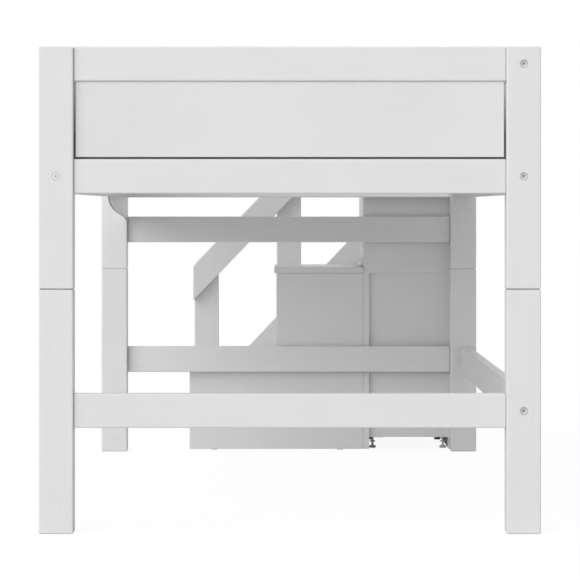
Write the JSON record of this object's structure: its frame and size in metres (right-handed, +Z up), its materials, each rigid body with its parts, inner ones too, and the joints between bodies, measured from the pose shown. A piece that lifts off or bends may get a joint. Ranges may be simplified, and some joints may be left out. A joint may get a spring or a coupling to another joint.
{
  "type": "mid sleeper bed with storage stairs",
  "caption": "White mid sleeper bed with two-part posts, guard rails and panels, slatted base, and box stairs with lift-up steps and a handrail at one end.",
  "frame": {"origin": "on the floor, under the middle of the box round the bed and its stairs", "axes": "+X from the open long side towards the wall side with the low rail, +Y from the near end of the bed towards the stairs, +Z up"},
  "size_m": [1.02, 2.5306, 1.059],
  "materials": {
    "lacquer": "satin white lacquer on solid pine and board",
    "pine": "planed natural pine",
    "steel": "zinc-plated steel",
    "plastic": "moulded grey plastic"
  },
  "bodies": {
    "bed_and_stairs": {"near_left_leg": "lacquer", "near_left_post": "lacquer", "near_right_leg": "lacquer", "near_right_post": "lacquer", "far_left_leg": "lacquer", "far_left_post": "lacquer", "far_right_leg": "lacquer", "far_right_post": "lacquer", "near_guard_rail": "lacquer", "near_panel": "lacquer", "near_bed_rail": "lacquer", "near_low_rail": "lacquer", "far_bed_rail": "lacquer", "far_tie_rail": "lacquer", "far_low_rail": "lacquer", "entry_guard_post": "lacquer", "far_guard_rail": "lacquer", "far_panel": "lacquer", "left_bed_rail": "lacquer", "left_guard_rail": "lacquer", "left_panel": "lacquer", "right_bed_rail": "lacquer", "right_guard_rail": "lacquer", "right_low_rail": "lacquer", "right_panel": "lacquer", "slat_01": "pine", "slat_02": "pine", "slat_03": "pine", "slat_04": "pine", "slat_05": "pine", "slat_06": "pine", "slat_07": "pine", "slat_08": "pine", "slat_09": "pine", "slat_10": "pine", "end_upright": "lacquer", "middle_upright": "lacquer", "niche_left_upright": "lacquer", "niche_right_upright": "lacquer", "stepped_side_panel": "lacquer", "top_box_side_panel": "lacquer", "skirt_side_panel": "lacquer", "low_box_floor": "lacquer", "middle_box_floor": "lacquer", "niche_floor": "lacquer", "top_box_floor": "lacquer", "handrail": "lacquer", "low_handrail_post": "lacquer", "middle_handrail_post": "lacquer", "top_handrail_post": "lacquer", "low_lid_hinge": "steel", "middle_lid_hinge": "steel", "top_lid_hinge": "steel", "near_left_foot": "plastic", "near_right_foot": "plastic", "far_left_foot": "plastic", "far_right_foot": "plastic"},
    "low_lid": {"low_step_lid": "lacquer"},
    "middle_lid": {"middle_step_lid": "lacquer"},
    "top_lid": {"top_step_lid": "lacquer"}
  },
  "joints": [
    {"name": "low_lid_lift", "type": "hinge", "parent": "bed_and_stairs", "child": "low_lid", "pos_m": [-0.0383, 1.021, 0.2543], "axis": [0, 1, 0], "range_deg": [0, 80]},
    {"name": "middle_lid_lift", "type": "hinge", "parent": "bed_and_stairs", "child": "middle_lid", "pos_m": [0.2, 1.021, 0.5043], "axis": [0, 1, 0], "range_deg": [0, 80]},
    {"name": "top_lid_lift", "type": "hinge", "parent": "bed_and_stairs", "child": "top_lid", "pos_m": [0.4573, 1.021, 0.7337], "axis": [0, 1, 0], "range_deg": [0, 80]}
  ]
}
